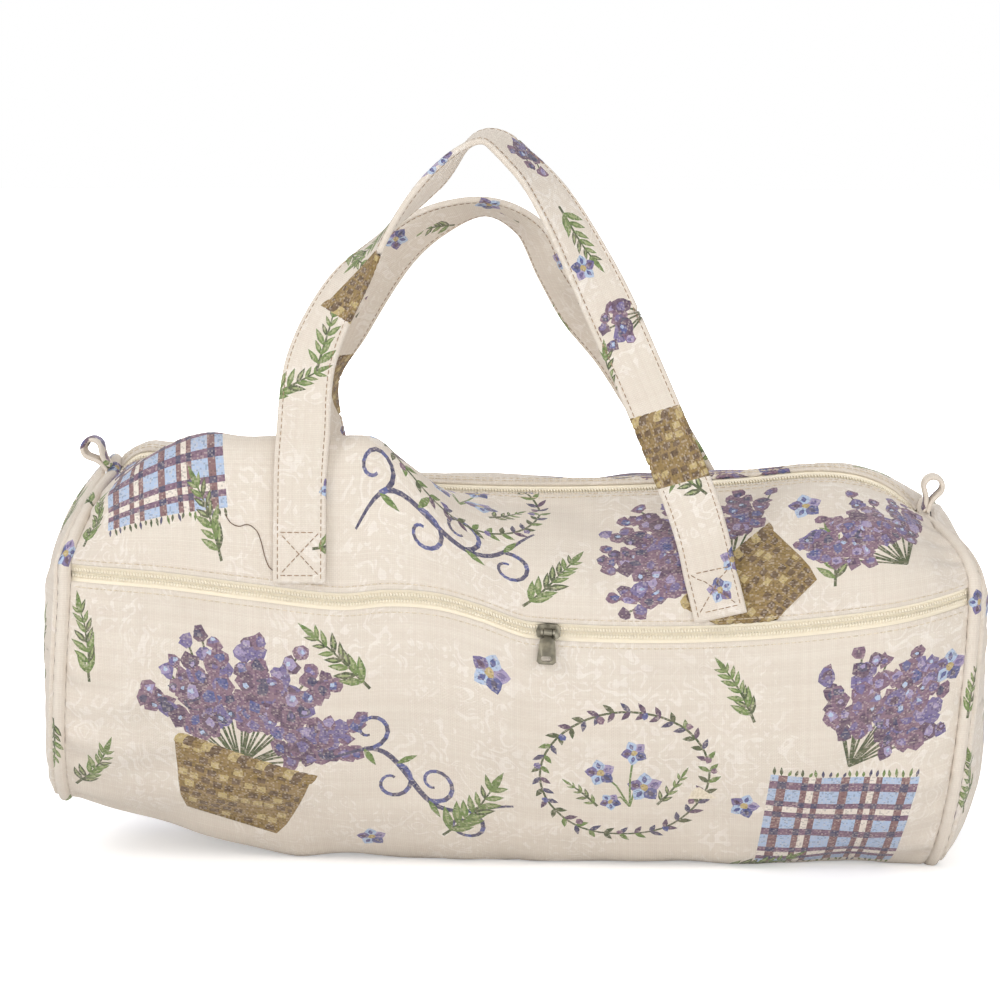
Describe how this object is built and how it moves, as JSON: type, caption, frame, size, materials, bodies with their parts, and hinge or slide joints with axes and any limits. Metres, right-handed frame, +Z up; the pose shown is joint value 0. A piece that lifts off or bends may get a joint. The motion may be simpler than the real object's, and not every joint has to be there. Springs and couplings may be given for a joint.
{
  "type": "knitting project bag",
  "caption": "Soft barrel-shaped bag of woven cloth with a zipped front pocket, a zipped top, looped carry handles and end loops, for carrying knitting.",
  "frame": {"origin": "middle of the flat base that the bag stands on", "axes": "+X along the bag to the viewer's right, -Y towards the front with the pocket zip, +Z up"},
  "size_m": [0.4202, 0.1692, 0.3256],
  "materials": {
    "woven_cloth": "heavy cream woven cloth with woven-in sprigs and plaid",
    "lining_cloth": "plain thin lining",
    "zip_tape": "pale cream woven tape",
    "zip_coil": "pale cream nylon coil",
    "slider_metal": "antique grey plated zinc",
    "pull_metal": "antique grey plated zinc"
  },
  "bodies": {
    "bag": {"main_panel": "woven_cloth", "upper_front_panel": "woven_cloth", "pocket_lining": "lining_cloth", "left_end_panel": "woven_cloth", "right_end_panel": "woven_cloth", "left_piping": "woven_cloth", "right_piping": "woven_cloth", "front_handle": "woven_cloth", "back_handle": "woven_cloth", "left_loop": "woven_cloth", "right_loop": "woven_cloth", "front_zip_lower_tape": "zip_tape", "front_zip_upper_tape": "zip_tape", "front_zip_lower_coil": "zip_coil", "front_zip_upper_coil": "zip_coil", "top_zip_front_tape": "zip_tape", "top_zip_back_tape": "zip_tape", "top_zip_front_coil": "zip_coil", "top_zip_back_coil": "zip_coil"},
    "front_slider": {"front_zip_slider": "slider_metal"},
    "front_pull": {"front_zip_pull": "pull_metal"},
    "top_slider": {"top_zip_slider": "slider_metal"},
    "top_pull": {"top_zip_pull": "pull_metal"}
  },
  "joints": [
    {"name": "front_slider_run", "type": "hinge", "parent": "bag", "child": "front_slider", "pos_m": [0.057, -0.082, 0.7802], "axis": [0, -1, 0], "range_deg": [-0.25, 11.6]},
    {"name": "front_pull_swing", "type": "hinge", "parent": "front_slider", "child": "front_pull", "pos_m": [0.017, -0.0843, 0.1114], "axis": [-0.9982, 0, 0.0597], "range_deg": [0, 150]},
    {"name": "top_slider_run", "type": "hinge", "parent": "bag", "child": "top_slider", "pos_m": [0.008, -0.022, 1.1655], "axis": [0, -1, 0], "range_deg": [-3.1, 12.4]},
    {"name": "top_pull_swing", "type": "hinge", "parent": "top_slider", "child": "top_pull", "pos_m": [-0.09977, -0.0229, 0.17345], "axis": [0.9942, 0, -0.108], "range_deg": [0, 131]}
  ]
}
